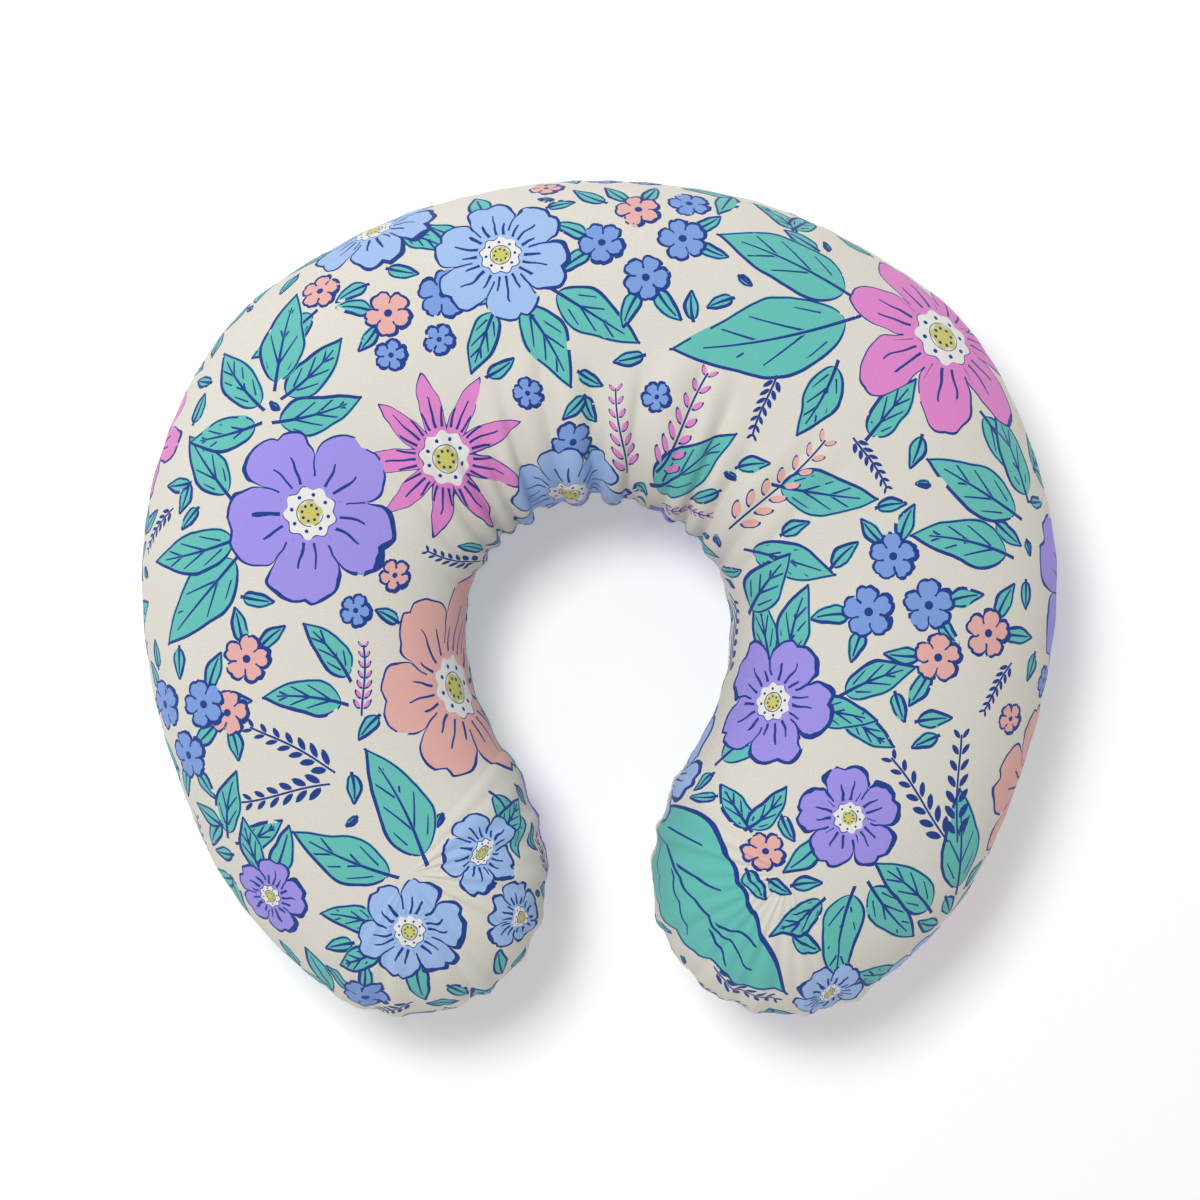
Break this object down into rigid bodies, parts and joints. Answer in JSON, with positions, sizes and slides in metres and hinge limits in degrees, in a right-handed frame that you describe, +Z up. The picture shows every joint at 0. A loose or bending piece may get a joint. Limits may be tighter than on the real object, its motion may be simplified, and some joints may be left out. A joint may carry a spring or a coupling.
{
  "type": "nursing pillow",
  "caption": "C-shaped stuffed pillow with a flat rest face, rounded arms, a zipped printed cotton cover and an inner liner that holds fibre filling.",
  "frame": {"origin": "on the ground, under the middle of the pillow's box", "axes": "+X across the pillow to the right arm, +Y towards the closed crown of the C (the opening faces -Y), +Z up through the thickness"},
  "size_m": [0.5588, 0.5104, 0.16],
  "materials": {
    "printed_cotton": "cream cotton twill with a multicoloured floral print",
    "liner_cotton": "plain white cotton",
    "polyester_fill": "matt white fibre",
    "sewing_thread": "cream polyester thread",
    "label_satin": "white satin, blank",
    "zip_tape": "cream woven tape",
    "zip_coil": "cream nylon coil",
    "zip_metal": "satin nickel-coloured metal"
  },
  "bodies": {
    "pillow": {"cover_top_panel": "printed_cotton", "cover_bottom_panel": "printed_cotton", "cover_seam_thread": "sewing_thread", "liner_top_panel": "liner_cotton", "liner_bottom_panel": "liner_cotton", "liner_seam_thread": "sewing_thread", "liner_closing_stitch": "sewing_thread", "fiberfill_core": "polyester_fill", "care_label": "label_satin", "liner_label": "label_satin", "zip_tape_upper": "zip_tape", "zip_tape_lower": "zip_tape", "zip_coil_upper": "zip_coil", "zip_coil_lower": "zip_coil", "zip_stitch_upper": "sewing_thread", "zip_stitch_lower": "sewing_thread", "zip_top_stop_upper": "zip_metal", "zip_top_stop_lower": "zip_metal", "zip_bottom_stop": "zip_metal", "zip_bar_tack_closed_end": "sewing_thread", "zip_bar_tack_open_end": "sewing_thread"},
    "slider": {"zip_slider_body": "zip_metal"},
    "pull": {"zip_pull_tab": "zip_metal"}
  },
  "joints": [
    {"name": "slider_travel", "type": "hinge", "parent": "pillow", "child": "slider", "pos_m": [0, -0.0848, 0.041], "axis": [0, 0, 1], "range_deg": [0, 56]},
    {"name": "pull_swing", "type": "hinge", "parent": "slider", "child": "pull", "pos_m": [0.15747, 0.21136, 0.03859], "axis": [-0.2017, -0.3793, -0.903], "range_deg": [0, 175]}
  ]
}
